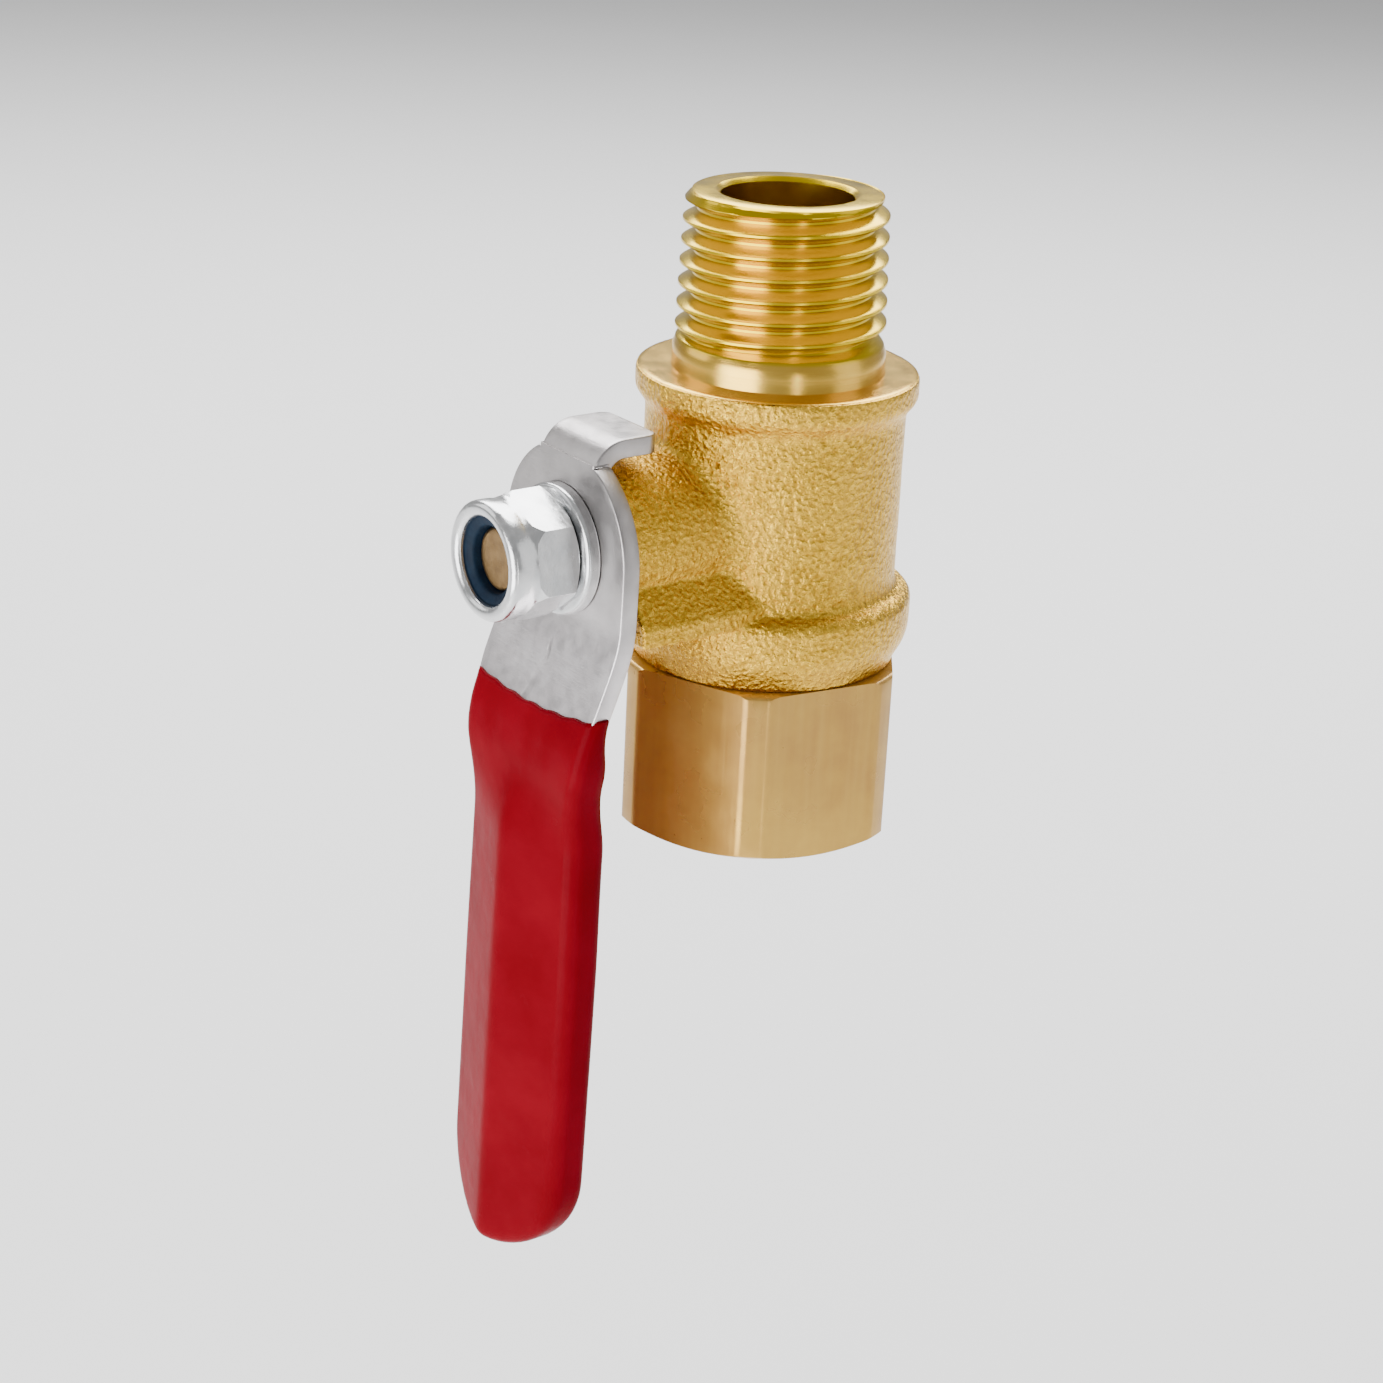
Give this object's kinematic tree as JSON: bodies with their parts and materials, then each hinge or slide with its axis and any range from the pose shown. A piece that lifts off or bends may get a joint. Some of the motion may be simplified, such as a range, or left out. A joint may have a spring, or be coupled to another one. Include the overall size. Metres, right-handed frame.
{
  "type": "ball valve",
  "caption": "Small brass pipe ball valve with a tapered male end, a hexagonal female end and a red dipped quarter-turn lever held by a lock nut.",
  "frame": {"origin": "centre of the female port's end face", "axes": "+Z along the flow axis towards the male end, -Y along the stem towards the handle; rest pose is the open valve with the lever parallel to the pipe"},
  "size_m": [0.0188, 0.0313, 0.068],
  "materials": {
    "forged_brass": "shot-blasted forging with machined faces and threads",
    "drawn_brass": "smooth drawn bar",
    "chromed_brass": "polished chrome plating",
    "turned_brass": "turned",
    "seal_plastic": "smooth fluoropolymer",
    "seal_rubber": "moulded",
    "plated_steel": "satin nickel plating with light scratches",
    "red_vinyl": "dip-coated vinyl, satin gloss",
    "bright_zinc": "bright zinc plating",
    "blue_nylon": "moulded nylon"
  },
  "bodies": {
    "valve_body": {"valve_body": "forged_brass", "end_connector": "drawn_brass", "seat_male_side": "seal_plastic", "seat_female_side": "seal_plastic"},
    "lever": {"handle_lever": "plated_steel", "handle_grip": "red_vinyl", "stem": "turned_brass", "stem_thrust_washer": "seal_plastic", "stem_ring_inner": "seal_rubber", "stem_ring_outer": "seal_rubber", "plain_washer": "bright_zinc", "lock_nut": "bright_zinc", "nut_insert": "blue_nylon"},
    "ball": {"ball": "chromed_brass"}
  },
  "joints": [
    {"name": "handle_turn", "type": "hinge", "parent": "valve_body", "child": "lever", "pos_m": [0, -0.0159, 0.02088], "axis": [0, 1, 0], "range_deg": [0, 90]},
    {"name": "ball_turn", "type": "hinge", "parent": "valve_body", "child": "ball", "pos_m": [0, 0, 0.02088], "axis": [0, 1, 0], "range_deg": [0, 90]}
  ],
  "couplings": [
    {"joint": "ball_turn", "follows": "handle_turn", "ratio": 1}
  ]
}
